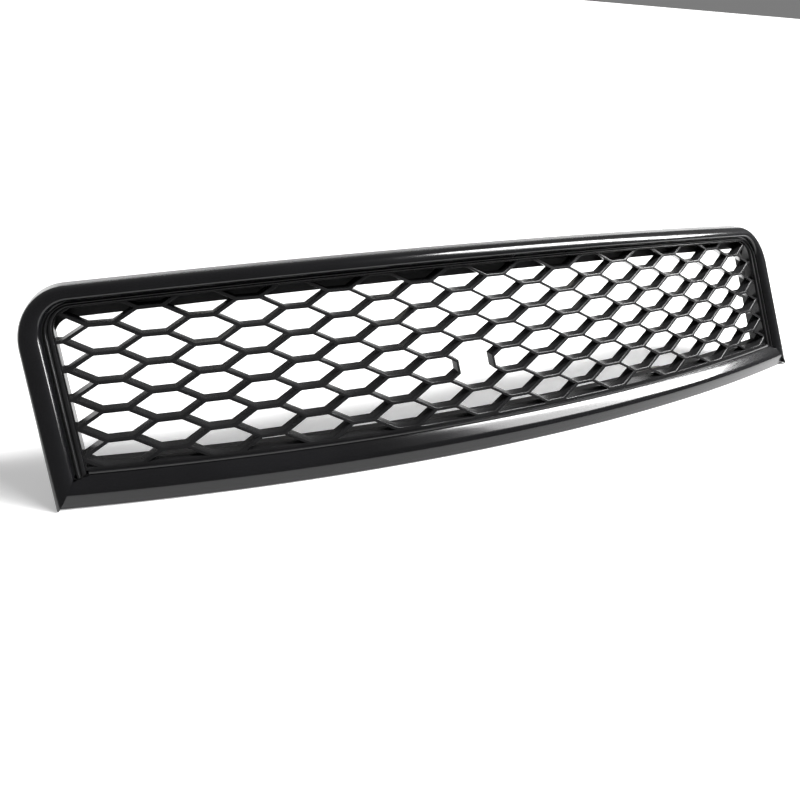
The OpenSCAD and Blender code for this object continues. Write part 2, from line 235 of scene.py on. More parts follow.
@dataclass(frozen=True)
class SatinMoulding:
    """Satin moulded plastic with a fine spark-eroded texture and smoother patches."""

    name: str
    deep: Colour
    pale: Colour
    roughness: Pair
    grain: float = 1500.0
    relief: float = 0.00005
    cloud: float = 26.0
    patches: float = 60.0

    def build(self) -> bpy.types.Material:
        """Makes the material.

        Returns:
            The material.
        """
        n = Nodes(self.name)
        cloud = n.noise(self.cloud, 5.0)
        tint = n.ramp(cloud, "Fac", self.deep, self.pale, 0.3, 0.75)
        n.join(tint, "Color", n.shader, "Base Color")
        patch = n.noise(self.patches, 3.0)
        rough = n.spread(patch, "Fac", *self.roughness)
        n.join(rough, "Result", n.shader, "Roughness")
        spark = n.noise(self.grain, 2.0)
        n.bump(spark, "Fac", self.relief, 0.4)
        n.fixed(ior=1.4)
        return n.material


@dataclass(frozen=True)
class PlatedSteel:
    """Sheet or wire steel with a plated skin, drawn lines and small stains."""

    name: str
    bright: Colour
    stain: Colour
    roughness: Pair = (0.28, 0.46)
    lines: Triple = (0.3, 1.0, 6.0)
    drawing: float = 520.0
    spots: float = 70.0
    relief: float = 0.00003

    def build(self) -> bpy.types.Material:
        """Makes the material.

        Returns:
            The material.
        """
        n = Nodes(self.name)
        spots = n.noise(self.spots, 6.0)
        tint = n.ramp(spots, "Fac", self.bright, self.stain, 0.5, 0.86)
        n.join(tint, "Color", n.shader, "Base Color")
        drawn = n.noise(self.drawing, 3.0, self.lines)
        rough = n.spread(drawn, "Fac", *self.roughness)
        n.join(rough, "Result", n.shader, "Roughness")
        n.bump(drawn, "Fac", self.relief, 0.35)
        n.fixed(metallic=1.0)
        return n.material


@dataclass(frozen=True)
class Foam:
    """Closed-cell foam or soft rubber with open pores at its skin."""

    name: str
    deep: Colour
    pale: Colour
    pores: float = 900.0
    relief: float = 0.00022
    dust: float = 45.0
    roughness: Pair = (0.78, 0.95)

    def build(self) -> bpy.types.Material:
        """Makes the material.

        Returns:
            The material.
        """
        n = Nodes(self.name)
        cells = n.add("ShaderNodeTexVoronoi")
        cells.inputs["Scale"].default_value = self.pores
        n.join(n.place, "Object", cells, "Vector")
        tint = n.ramp(cells, "Distance", self.deep, self.pale, 0.05, 0.6)
        n.join(tint, "Color", n.shader, "Base Color")
        dust = n.noise(self.dust, 3.0)
        rough = n.spread(dust, "Fac", *self.roughness)
        n.join(rough, "Result", n.shader, "Roughness")
        n.bump(cells, "Distance", self.relief, 0.6)
        n.fixed(sheen=0.15)
        return n.material


@dataclass
class Finishes:
    """Every finish of the grille, made once."""

    gloss: bpy.types.Material = field(init=False)
    rim: bpy.types.Material = field(init=False)
    mesh: bpy.types.Material = field(init=False)
    moulded: bpy.types.Material = field(init=False)
    sheet: bpy.types.Material = field(init=False)
    screw: bpy.types.Material = field(init=False)
    spring: bpy.types.Material = field(init=False)
    rubber: bpy.types.Material = field(init=False)
    nylon: bpy.types.Material = field(init=False)
    foam: bpy.types.Material = field(init=False)

    def __post_init__(self) -> None:
        """Builds the materials."""
        self.gloss = GlossMoulding("gloss_black", (0.0035, 0.0035, 0.004), (0.007, 0.007, 0.008)).build()
        self.rim = SatinMoulding("satin_black", (0.006, 0.006, 0.0065), (0.012, 0.012, 0.0125),
                                 (0.24, 0.36)).build()
        self.mesh = SatinMoulding("satin_grey", (0.007, 0.007, 0.0075), (0.014, 0.014, 0.0145),
                                  (0.2, 0.3)).build()
        self.moulded = SatinMoulding("moulded_black", (0.018, 0.018, 0.018), (0.035, 0.035, 0.035),
                                     (0.5, 0.68), 900.0, 0.00012).build()
        self.sheet = PlatedSteel("plated_steel", (0.52, 0.51, 0.47), (0.33, 0.32, 0.28)).build()
        self.screw = PlatedSteel("zinc_screw", (0.62, 0.62, 0.63), (0.42, 0.42, 0.4),
                                 (0.2, 0.34), (4, 4, 4)).build()
        self.spring = PlatedSteel("spring_steel", (0.09, 0.09, 0.095), (0.05, 0.045, 0.04),
                                  (0.35, 0.55)).build()
        self.rubber = Foam("soft_rubber", (0.012, 0.012, 0.012), (0.022, 0.022, 0.022),
                           2600.0, 0.00004).build()
        self.nylon = SatinMoulding("nylon_black", (0.016, 0.016, 0.017), (0.03, 0.03, 0.032),
                                   (0.38, 0.5)).build()
        self.foam = Foam("foam_black", (0.01, 0.01, 0.011), (0.035, 0.035, 0.037)).build()


# ---------------------------------------------------------------- shared form


@dataclass(frozen=True)
class Edge:
    """One outline of the face: half width, crown height and corner radius, in millimetres."""

    half: float
    crown: float
    corner: float

    def moved(self, side: float, top: float) -> "Edge":
        """The outline moved outwards by side and up by top."""
        return Edge(self.half + side, self.crown + top, self.corner + side)

    def inset(self, side: float, top: float, corner: float) -> "Edge":
        """The outline moved inwards by side and down by top, with its corner radius cut by corner."""
        return Edge(self.half - side, self.crown - top, self.corner - corner)

    def mixed(self, other: "Edge", share: float) -> "Edge":
        """An outline part of the way to another one."""
        keep = 1.0 - share
        return Edge(self.half * keep + other.half * share, self.crown * keep + other.crown * share,
                    self.corner * keep + other.corner * share)


@dataclass
class Form:
    """The bowed, reclined surface that every moulding follows, in millimetres."""

    recline: float = math.radians(30.0)
    plan_r: float = 1848.0
    crown_r: float = 6266.0
    corner_r: float = 42.0
    lean: float = math.radians(4.2)
    row_z: float = 132.0
    shelf_top: float = -107.0
    mitre_top: float = -109.8
    mitre_foot: float = 9.0
    mitre_run: float = 16.0
    mitre_below: float = 1.0
    lip_inset: float = 36.0
    bar_ahead: float = 3.0
    highest_foot: float = -60.0
    halvings: int = 40
    leg_steps: int = 10
    corner_steps: int = 22
    crown_steps: int = 44
    middle_y: float = field(init=False)
    outer: Edge = field(init=False)

    def __post_init__(self) -> None:
        """Reads the face's size and place from the frame."""
        low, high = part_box("surround_arch")
        bar_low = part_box("lower_bar")[0]
        self.outer = Edge((high[0] - low[0]) / 2 / MM, high[2] / MM - self.row_z, self.corner_r)
        self.middle_y = -self.row_z * math.tan(self.recline) - self.bar_ahead - bar_low[1] / MM

    @property
    def floor_z(self) -> float:
        """Height of the floor."""
        return -self.row_z

    @property
    def tube(self) -> Edge:
        """Inner outline of the surround's tube."""
        return self.outer.inset(19.0, 12.0, 17.0)

    @property
    def window(self) -> Edge:
        """Outline of the opening that holds the mesh."""
        return self.outer.inset(26.0, 15.6, 24.0)

    def depth(self, x: float, z: float) -> float:
        """Distance of the mesh's front behind the middle of its first row."""
        tilt_r = self.plan_r / math.cos(self.recline)
        bow = (tilt_r - math.sqrt(tilt_r ** 2 - x ** 2)) / math.cos(self.recline)
        return bow + z * math.tan(self.recline)

    def point(self, x: float, z: float, behind: float) -> Vector:
        """A point of the row's frame, in metres, from a place on the face and a distance behind it."""
        return self.free(x, self.depth(x, z) + behind, z)

    def free(self, x: float, y: float, z: float) -> Vector:
        """A point of the row's frame, in metres, from millimetres in the face's own frame."""
        return Vector((x, y - self.middle_y, z + self.row_z)) * MM

    def mitre_x(self, z: float) -> float:
        """Half width of the lower bar's mitred end at a height.

        Args:
            z: the height.

        Returns:
            The half width.
        """
        below = self.mitre_below
        share = (z - self.floor_z + below) / (self.mitre_top - self.floor_z + below)
        return self.outer.half - self.mitre_foot - self.mitre_run * share

    def centre(self, e: Edge) -> Pair:
        """Centre of an outline's corner arc."""
        x = e.half - e.corner
        return x, e.crown - self.crown_r + math.sqrt((self.crown_r - e.corner) ** 2 - x ** 2)

    def leg_x(self, e: Edge, z: float) -> float:
        """Half width of an outline's leg at a height.

        Args:
            e: the outline.
            z: the height.

        Returns:
            The half width.
        """
        x, cz = self.centre(e)
        top = cz - e.corner * math.sin(self.lean)
        return x + e.corner * math.cos(self.lean) - (top - z) * math.tan(self.lean)

    def leg_foot(self, e: Edge) -> float:
        """Height at which an outline's leg meets the mitre, found by halving.

        Args:
            e: the outline.

        Returns:
            The height, never below the floor.
        """
        low, high = self.floor_z, self.highest_foot
        for _ in range(self.halvings):
            middle = (low + high) / 2
            if self.leg_x(e, middle) > self.mitre_x(middle):
                high = middle
            else:
                low = middle
        return max(high, self.floor_z)

    def half_path(self, e: Edge, bottom: float) -> list[Pair]:
        """The right half of an outline from the foot of the leg to the crown.

        Args:
            e: the outline.
            bottom: height of its foot.

        Returns:
            Points as width and height, always the same number.
        """
        cx, cz = self.centre(e)
        crown_angle = math.asin(cx / (self.crown_r - e.corner))
        knee = cz - e.corner * math.sin(self.lean)
        path = []
        for i in range(self.leg_steps):
            z = bottom + (knee - bottom) * i / self.leg_steps
            path.append((self.leg_x(e, z), z))
        for i in range(self.corner_steps + 1):
            a = -self.lean + (math.pi / 2 - crown_angle + self.lean) * i / self.corner_steps
            path.append((cx + e.corner * math.cos(a), cz + e.corner * math.sin(a)))
        for i in range(1, self.crown_steps + 1):
            a = crown_angle * (1 - i / self.crown_steps)
            path.append((self.crown_r * math.sin(a), e.crown - self.crown_r + self.crown_r * math.cos(a)))
        return path

    def path(self, e: Edge, bottom: float) -> list[Pair]:
        """A whole outline, from the right foot over the crown to the left foot."""
        right = self.half_path(e, bottom)
        return right + [(-x, z) for x, z in reversed(right[:-1])]


# ---------------------------------------------------------------- mesh helpers


def arc(cx: float, cy: float, r: float, start: float, end: float, steps: int) -> list[Pair]:
    """Points on an arc.

    Args:
        cx: centre, first coordinate.
        cy: centre, second coordinate.
        r: radius.
        start: first angle in degrees.
        end: last angle in degrees.
        steps: number of segments.

    Returns:
        The points, ends included.
    """
    angles = [math.radians(start + (end - start) * i / steps) for i in range(steps + 1)]
    return [(cx + r * math.cos(a), cy + r * math.sin(a)) for a in angles]


def rows_to_faces(bm: bmesh.types.BMesh, rows: list[list[Vector]], closed: bool = True) -> None:
    """Skins rows of points, each row being one section of a sweep, and caps both ends.

    Args:
        bm: mesh to add to.
        rows: sections with equal numbers of points.
        closed: whether each section is a closed loop.
    """
    grid = [[bm.verts.new(p) for p in row] for row in rows]
    count = len(rows[0])
    last = count if closed else count - 1
    for a, b in zip(grid, grid[1:]):
        for j in range(last):
            k = (j + 1) % count
            bm.faces.new((a[j], a[k], b[k], b[j]))
    if closed:
        bm.faces.new(list(reversed(grid[0])))
        bm.faces.new(grid[-1])


def finish_piece(bm: bmesh.types.BMesh, name: str, material: bpy.types.Material, shading: Shading,
                 recalc: bool = True) -> bpy.types.Object:
    """Turns a bmesh into a shaded, dressed object.

    Args:
        bm: the mesh; it is freed.
        name: the object's name.
        material: its finish.
        shading: where its faces meet in a crease.
        recalc: whether to turn every face outwards.

    Returns:
        The new object.
    """
    if recalc:
        bmesh.ops.recalc_face_normals(bm, faces=bm.faces)
    limit = math.radians(shading.value)
    for face in bm.faces:
        face.smooth = True
    for edge in bm.edges:
        if len(edge.link_faces) == 2 and edge.calc_face_angle(0.0) > limit:
            edge.smooth = False
    data = bpy.data.meshes.new(name)
    bm.to_mesh(data)
    bm.free()
    data.materials.append(material)
    piece = bpy.data.objects.new(name, data)
    bpy.context.scene.collection.objects.link(piece)
    return piece


def dress(node: str, material: bpy.types.Material, softening: Softening) -> None:
    """Gives a node kept from the frame its finish, and softens its edges.

    Args:
        node: the node's name.
        material: its finish.
        softening: how wide its edges are rounded.
    """
    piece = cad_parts[node]
    piece.data.materials.clear()
    piece.data.materials.append(material)
    rounding = piece.modifiers.new("edge", "BEVEL")
    rounding.width = softening.value * MM
    rounding.segments = 2
    rounding.limit_method = "ANGLE"
    rounding.angle_limit = math.radians(40)
    rounding.use_clamp_overlap = True
    LOG.info("dressed %s", node)


# ---------------------------------------------------------------- sub-assemblies


@dataclass
class SurroundTube:
    """The gloss tube over the top and down both legs, with one broad rolled face."""

    form: Form
    material: bpy.types.Material
    back: float = 11.0
    nose: float = 10.0
    mitre_gap: float = 0.15

    def section(self) -> list[Pair]:
        """The tube's section.

        Returns:
            Points as share across its width and distance behind the mesh's front.
        """
        outside = [(0.0, self.back), (0.0, 3.0), (0.0, -2.6), (0.008, -4.2), (0.032, -5.8), (0.075, -7.1),
                   (0.135, -8.2), (0.21, -9.0), (0.30, -9.6), (0.42, -9.95), (0.56, -self.nose)]
        inside = [(0.63, -9.85), (0.70, -9.4), (0.765, -8.65), (0.82, -7.7), (0.865, -6.6), (0.90, -5.4),
                  (0.925, -4.2), (0.945, -3.1), (1.0, -2.6), (1.0, 2.0), (1.0, self.back)]
        return outside + inside

    def build(self) -> bpy.types.Object:
        """Sweeps the section round the arch.

        Returns:
            The tube.
        """
        columns = []
        for share, behind in self.section():
            e = self.form.outer.mixed(self.form.tube, share)
            path = self.form.path(e, self.form.leg_foot(e) + self.mitre_gap)
            columns.append([self.form.point(x, z, behind) for x, z in path])
        rows = [list(row) for row in zip(*columns)]
        bm = bmesh.new()
        rows_to_faces(bm, rows)
        piece = finish_piece(bm, "surround_tube", self.material, Shading.CREASED)
        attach(piece, "grille")
        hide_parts("surround_arch")
        LOG.info("surround tube: %d faces", len(piece.data.polygons))
        return piece


@dataclass
class LowerBar:
    """The mitred plinth with a double lip, a groove, a sloping shoulder and a rolled front."""

    form: Form
    material: bpy.types.Material
    steps: int = 96
    lip: float = 25.5
    reach: float = 34.0

    def section(self) -> list[Pair]:
        """The bar's section.

        Returns:
            Points as distance behind its front face and height above the floor.
        """
        front = arc(1.3, 1.3, 1.3, 270, 180, 4) + [(0.0, 5.0)] + arc(9.0, 9.5, 9.0, 180, 128.6, 10)
        shoulder = [(7.4, 19.73), (11.2, 22.76), (11.7, 23.0), (12.1, 22.9), (12.35, 22.5)]
        top = self.lip
        lip = [(12.6, 22.35), (12.9, 22.6), (13.05, 23.4), (13.15, top - 0.7), (13.4, top - 0.15),
               (13.75, top), (14.05, top - 0.2), (14.3, top - 0.5), (14.6, top - 0.3),
               (14.9, top - 0.25), (15.2, top - 0.5), (15.35, top - 1.0), (15.5, 22.7), (15.9, 22.1)]
        shelf = [(self.reach, 22.1), (self.reach, 19.7), (16.0, 19.7), (5.0, 13.6), (3.0, 10.0), (3.0, 3.0),
                 (30.0, 3.0), (30.0, 0.0)]
        return front + shoulder + lip + shelf

    def build(self) -> bpy.types.Object:
        """Sweeps the section along the bow between the mitres.

        Returns:
            The bar.
        """
        form = self.form
        front_y = form.floor_z * math.tan(form.recline) - form.bar_ahead
        rows = []
        for i in range(self.steps + 1):
            share = 2.0 * i / self.steps - 1.0
            row = []
            for behind, height in self.section():
                z = form.floor_z + height
                half = form.mitre_x(z) if z < form.mitre_top else form.outer.half - form.lip_inset
                x = share * half
                bow = form.plan_r - math.sqrt(form.plan_r ** 2 - x ** 2)
                row.append(form.free(x, front_y + bow + behind, z))
            rows.append(row)
        bm = bmesh.new()
        rows_to_faces(bm, rows)
        piece = finish_piece(bm, "lower_bar_moulding", self.material, Shading.CREASED)
        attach(piece, "grille")
        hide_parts("lower_bar")
        LOG.info("lower bar: %d faces", len(piece.data.polygons))
        return piece


@dataclass
class MeshRim:
    """The satin frame between the tube and the mesh: bead, walls, rear flange and shelf."""

    form: Form
    material: bpy.types.Material
    shelf_low: float = -109.4
    shelf_steps: int = 60
    shelf_overlap: float = 1.0
    wall_top: float = -4.0
    wall_steps: int = 24
    bead_drop: float = 3.6
    flange_drop: float = 26.6
    soft: float = 0.4

    def bead(self) -> list[Pair]:
        """Section of the bead and wall, from the tube's edge (0) to the window's edge (1)."""
        bead = [(0.03, 3.0), (0.03, -2.9), (0.07, -3.8), (0.14, -4.4), (0.23, -4.6), (0.32, -4.4),
                (0.39, -3.8), (0.43, -2.9), (0.45, -1.9)]
        wall = [(0.50, -1.5), (0.55, -1.7), (0.60, -2.3), (0.68, -2.5), (0.86, -2.5), (0.95, -2.2),
                (1.0, -1.5), (1.0, 4.0), (1.0, 11.35), (0.66, 11.35), (0.66, 3.0)]
        return bead + wall

    def sweep(self, bm: bmesh.types.BMesh, a: Edge, b: Edge, section: list[Pair],
              bottom: float) -> None:
        """Sweeps a section that lies between two outlines.

        Args:
            bm: mesh to add to.
            a: outline at share 0.
            b: outline at share 1.
            section: share and distance behind the face.
            bottom: height of both feet.
        """
        columns = []
        for share, behind in section:
            path = self.form.path(a.mixed(b, share), bottom)
            columns.append([self.form.point(x, z, behind) for x, z in path])
        rows_to_faces(bm, [list(row) for row in zip(*columns)])

    def shelf(self, bm: bmesh.types.BMesh, half: float, front: float, back: float) -> None:
        """Adds a stretch of the level shelf under the mesh.

        Args:
            bm: mesh to add to.
            half: half of its length.
            front: distance of its front edge behind the face.
            back: distance of its rear edge behind the face.
        """
        top, low, soft = self.form.shelf_top, self.shelf_low, self.soft
        section = [(low, front), (top - soft, front), (top, front + soft), (top, back - soft),
                   (top - soft, back), (low, back)]
        rows = []
        for i in range(self.shelf_steps + 1):
            x = half * (2.0 * i / self.shelf_steps - 1.0)
            rows.append([self.form.point(x, z, behind) for z, behind in section])
        rows_to_faces(bm, rows)

    def side_wall(self, bm: bmesh.types.BMesh, side: int) -> None:
        """Adds the deep wall beside the mesh on one leg, with a softened rear edge.

        Args:
            bm: mesh to add to.
            side: -1 for the left leg, 1 for the right one.
        """
        form = self.form
        section = [(0.0, 13.9), (0.0, 23.6), (0.4, 24.0), (2.6, 24.0), (3.0, 23.6), (3.0, 13.9)]
        rows = []
        for i in range(self.wall_steps + 1):
            z = self.shelf_low + (self.wall_top - self.shelf_low) * i / self.wall_steps
            inner = form.leg_x(form.window, z)
            rows.append([form.point(side * (inner + out), z, behind) for out, behind in section])
        rows_to_faces(bm, rows)

    def build(self) -> bpy.types.Object:
        """Builds the rim in one piece.

        Returns:
            The rim.
        """
        form = self.form
        bm = bmesh.new()
        self.sweep(bm, form.tube, form.window, self.bead(), form.shelf_top - self.bead_drop)
        flange_out = form.outer.moved(-4.0, -3.0)
        flange_in = Edge(form.window.half, form.outer.crown - self.flange_drop,
                         form.outer.corner - 26.0)
        flange = [(0.0, 11.3), (0.97, 11.3), (1.0, 11.6), (1.0, 13.7), (0.97, 14.0), (0.02, 14.0),
                  (0.0, 13.8)]
        self.sweep(bm, flange_out, flange_in, flange, form.shelf_top)
        for side in (-1, 1):
            self.side_wall(bm, side)
        half = form.leg_x(form.window, form.shelf_top) + self.shelf_overlap
        self.shelf(bm, half, 2.9, 14.0)
        self.shelf(bm, half, 13.9, 23.0)
        piece = finish_piece(bm, "mesh_rim_moulding", self.material, Shading.CREASED)
        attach(piece, "grille")
        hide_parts("mesh_rim")
        LOG.info("mesh rim: %d faces", len(piece.data.polygons))
        return piece


@dataclass
class Honeycomb:
    """The six-sided cells with rounded front lips, and the taller bonnet catch opening."""

    form: Form
    material: bpy.types.Material
    pitch: float = 40.0
    cell_h: float = 21.0
    flat: float = 19.5
    web: float = 2.6
    depth: float = 11.1
    columns: int = 19
    rows: int = 6
    catch_column: int = 8
    catch_row: int = 3
    catch_half: float = 18.0
    crown: float = 0.0000312
    border: float = 1.35
    tuck: float = 0.6
    foot_steps: int = 60
    smallest: float = 2.0
    weld: float = 2e-6
    lips: tuple[Pair, ...] = ((0.55, 0.0), (0.28, 0.06), (0.09, 0.24), (0.0, 0.6))

    @property
    def slant(self) -> float:
        """Angle of the cells' sloping sides."""
        return math.atan(self.cell_h / 2 / (self.pitch - self.flat))

    @property
    def side(self) -> float:
        """Half width of an opening at its middle."""
        return self.pitch - self.flat / 2 - self.web / 2 / math.sin(self.slant)

    @property
    def top(self) -> float:
        """Half width of an opening at its top."""
        return self.side - (self.cell_h - self.web) / 2 / math.tan(self.slant)

    def column_x(self, k: int) -> float:
        """Middle of a column."""
        return (k - (self.columns - 1) / 2) * self.pitch

    def cell(self, x: float, z: float) -> list[Pair]:
        """One opening, anticlockwise."""
        s, t, h = self.side, self.top, (self.cell_h - self.web) / 2
        return [(x + a, z + b) for a, b in ((s, 0), (t, h), (-t, h), (-s, 0), (-t, -h), (t, -h))]

    @property
    def catch_stub(self) -> float:
        """Half of the height at which a sloping side meets the catch opening's upright side."""
        return self.cell_h / 2 - (self.side - self.catch_half) * math.tan(self.slant)

    def catch(self, x: float, z: float) -> list[Pair]:
        """The catch opening: two cells run together between two upright sides.

        Args:
            x: its middle.
            z: height of its middle.

        Returns:
            Its points, anticlockwise.
        """
        s, t, w = self.side, self.top, self.catch_half
        mid, tall, stub = self.cell_h / 2, self.cell_h - self.web / 2, self.catch_stub
        right = [(w, -stub), (w, stub), (s, mid), (t, tall)]
        left = [(-a, b) for a, b in reversed(right)]
        low = [(-s, -mid), (-t, -tall), (t, -tall), (s, -mid)]
        return [(x + a, z + b) for a, b in right + left + low]

    def beside_catch(self, k: int, poly: list[Pair]) -> list[Pair]:
        """Cuts the point off the opening next to the catch, where the upright wall stands.

        Args:
            k: the opening's column.
            poly: the opening.

        Returns:
            The cut opening.
        """
        x = self.column_x(self.catch_column)
        edge = self.catch_half + self.web
        wide, tall = 900.0, 300.0
        box = [(-wide, -tall), (x - edge, -tall), (x - edge, tall), (-wide, tall)]
        if k > self.catch_column:
            box = [(x + edge, -tall), (wide, -tall), (wide, tall), (x + edge, tall)]
        return self.clipped(poly, box)

    def openings(self) -> list[list[Pair]]:
        """Every opening of the mesh before it is cut to the window.

        Returns:
            The openings, with a spare row and column all round.
        """
        found = []
        for k in range(-1, self.columns + 1):
            shift = 0.5 if k % 2 == 0 else 0.0
            for row in range(-1, self.rows):
                if k == self.catch_column and row in (self.catch_row - 1, self.catch_row):
                    continue
                cell = self.cell(self.column_x(k), -(row + shift) * self.cell_h)
                if row == self.catch_row and abs(k - self.catch_column) == 1:
                    cell = self.beside_catch(k, cell)
                found.append(cell)
        found.append(self.catch(self.column_x(self.catch_column), -self.catch_row * self.cell_h))
        return found

    @staticmethod
    def widened(poly: list[Pair], by: float) -> list[Pair]:
        """A convex outline with each side moved outwards.

        Args:
            poly: anticlockwise points.
            by: distance to move each side.

        Returns:
            The new points, one for each old one.
        """
        out = []
        count = len(poly)
        for i in range(count):
            (ax, ay), (bx, bz), (cx, cy) = poly[i - 1], poly[i], poly[(i + 1) % count]
            ux, uy = bx - ax, bz - ay
            vx, vy = cx - bx, cy - bz
            ul, vl = math.hypot(ux, uy), math.hypot(vx, vy)
            n1 = (uy / ul, -ux / ul)
            n2 = (vy / vl, -vx / vl)
            scale = by / (1.0 + n1[0] * n2[0] + n1[1] * n2[1])
            out.append((bx + (n1[0] + n2[0]) * scale, bz + (n1[1] + n2[1]) * scale))
        return out

    @staticmethod
    def clipped(poly: list[Pair], cutter: list[Pair]) -> list[Pair]:
        """The part of an outline inside a convex one.

        Args:
            poly: the outline to cut.
            cutter: the convex outline, anticlockwise.

        Returns:
            The part left, or nothing.
        """
        result = poly
        count = len(cutter)
        for i in range(count):
            (ax, ay), (bx, by) = cutter[i], cutter[(i + 1) % count]
            kept: list[Pair] = []
            for j in range(len(result)):
                p, q = result[j], result[(j + 1) % len(result)]
                dp = (bx - ax) * (p[1] - ay) - (by - ay) * (p[0] - ax)
                dq = (bx - ax) * (q[1] - ay) - (by - ay) * (q[0] - ax)
                if dp >= 0:
                    kept.append(p)
                if dp * dq < 0:
                    s = dp / (dp - dq)
                    kept.append((p[0] + (q[0] - p[0]) * s, p[1] + (q[1] - p[1]) * s))
            result = kept
            if len(result) < 3:
                return []
        return result

    def dropped(self, poly: list[Pair]) -> list[Pair]:
        """The rows fall a little towards the ends."""
        return [(x, z - self.crown * x * x) for x, z in poly]

    def outline(self, inset: float) -> list[Pair]:
        """The window's outline moved inwards.

        Args:
            inset: how far, in millimetres.

        Returns:
            Its points, anticlockwise.
        """
        e = self.form.window.moved(-inset, -inset)
        path = self.form.half_path(e, self.form.shelf_top + inset)
        return path + [(-x, z) for x, z in reversed(path[:-1])]

    @staticmethod
    def inside(poly: list[Pair], x: float, z: float) -> bool:
        """Whether a point is inside an outline, by counting the sides to its right.

        Args:
            poly: the outline.
            x: the point's place across the face.
            z: its height.

        Returns:
            True if it is inside.
        """
        crossings = 0
        for (ax, az), (bx, bz) in zip(poly, poly[1:] + poly[:1]):
            if (az > z) != (bz > z) and x < ax + (bx - ax) * (z - az) / (bz - az):
                crossings += 1
        return crossings % 2 == 1

    def plate(self, bm: bmesh.types.BMesh, holes: list[list[Pair]], behind: float,
              front: bool) -> None:
        """Adds the flat web between the openings at one depth.

        Args:
            bm: mesh to add to.
            holes: clipped openings at this depth.
            behind: distance behind the face.
            front: whether the web faces the viewer.
        """
        border = self.outline(-self.tuck)
        (left, low), (right, _) = border[-1], border[0]
        steps = self.foot_steps
        border += [(left + (right - left) * i / steps, low) for i in range(1, steps)]
        points = [Vector(p) for p in border]
        edges = [(i, (i + 1) % len(border)) for i in range(len(border))]
        for hole in holes:
            start = len(points)
            points += [Vector(p) for p in hole]
            edges += [(start + i, start + (i + 1) % len(hole)) for i in range(len(hole))]
        verts, _, faces, *_ = delaunay_2d_cdt(points, edges, [], 0, 1e-5)
        made: dict[int, bmesh.types.BMVert] = {}
        boxes = [(min(p[0] for p in h), max(p[0] for p in h), h) for h in holes]
        for face in faces:
            cx = sum(verts[i][0] for i in face) / len(face)
            cz = sum(verts[i][1] for i in face) / len(face)
            if not self.inside(border, cx, cz):
                continue
            if any(lo <= cx <= hi and self.inside(h, cx, cz) for lo, hi, h in boxes):
                continue
            for i in face:
                if i not in made:
                    made[i] = bm.verts.new(self.form.point(verts[i][0], verts[i][1], behind))
            loop = [made[i] for i in face]
            new = bm.faces.new(loop)
            new.normal_update()
            if (new.normal.y > 0) == front:
                new.normal_flip()

    def rings(self) -> list[list[list[Pair]]]:
        """Each opening's outline at every step of its lip, cut to the thin border.

        Returns:
            For each opening its outlines from the front to the foot of the lip.
        """
        found = []
        for base in self.openings():
            layers = []
            for by, _ in self.lips:
                opening = self.dropped(self.widened(base, by))
                layers.append(self.clipped(opening, self.outline(self.border - by)))
            if not layers[-1] or not layers[0] or self.area(layers[-1]) < self.smallest:
                continue
            if len({len(layer) for layer in layers}) > 1:
                layers = [layers[-1]] * len(layers)
            found.append(layers)
        return found

    @staticmethod
    def area(poly: list[Pair]) -> float:
        """Area of an outline."""
        twice = sum(poly[i - 1][0] * z - x * poly[i - 1][1] for i, (x, z) in enumerate(poly))
        return abs(twice) / 2

    def build(self) -> bpy.types.Object:
        """Builds the mesh: front web, rounded lips, deep walls and back web.

        Returns:
            The mesh.
        """
        rings = self.rings()
        bm = bmesh.new()
        for layers in rings:
            self.walls(bm, layers)
        self.plate(bm, [layers[0] for layers in rings], 0.0, True)
        self.plate(bm, [layers[-1] for layers in rings], self.depth, False)
        bmesh.ops.remove_doubles(bm, verts=bm.verts, dist=self.weld)
        piece = finish_piece(bm, "honeycomb_cells", self.material, Shading.CREASED, recalc=False)
        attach(piece, "grille")
        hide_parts("honeycomb_mesh")
        LOG.info("honeycomb: %d openings, %d faces", len(rings), len(piece.data.polygons))
        return piece

    def walls(self, bm: bmesh.types.BMesh, layers: list[list[Pair]]) -> None:
        """Adds one opening's lip and deep walls.

        Args:
            bm: mesh to add to.
            layers: the opening's outline at each step of its lip.
        """
        count = len(layers[0])
        stack = [(layer, behind) for layer, (_, behind) in zip(layers, self.lips)]
        stack.append((layers[-1], self.depth))
        grid = [[bm.verts.new(self.form.point(x, z, behind)) for x, z in layer]
                for layer, behind in stack]
        for j in range(count):
            k = (j + 1) % count
            for a, b in zip(grid, grid[1:]):
                bm.faces.new((a[j], a[k], b[k], b[j]))


@dataclass
class FoamStrips:
    """Die-cut foam pieces with soft edges, in place of the frame's plain strips."""

    node: str
    name: str
    material: bpy.types.Material
    voxel: float = 0.75
    softness: float = 0.5
    passes: int = 5
    fill: float = 0.85

    def build(self) -> bpy.types.Object:
        """Rounds the strips by remeshing and smoothing them.

        Returns:
            The strips, as one piece.
        """
        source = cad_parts[self.node]
        data = source.data.copy()
        data.name = self.name
        piece = bpy.data.objects.new(self.name, data)
        bpy.context.scene.collection.objects.link(piece)
        grid = piece.modifiers.new("grid", "REMESH")
        grid.mode = "VOXEL"
        grid.voxel_size = self.voxel * MM
        soft = piece.modifiers.new("soft", "SMOOTH")
        soft.factor = self.softness
        soft.iterations = self.passes
        graph = bpy.context.evaluated_depsgraph_get()
        done = bpy.data.meshes.new_from_object(piece.evaluated_get(graph))
        piece.modifiers.clear()
        piece.data = done
        done.materials.clear()
        done.materials.append(self.material)
        for polygon in done.polygons:
            polygon.use_smooth = True
        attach(piece, "grille")
        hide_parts(self.node)
        LOG.info("%s: %d faces", self.name, len(done.polygons))
        return piece


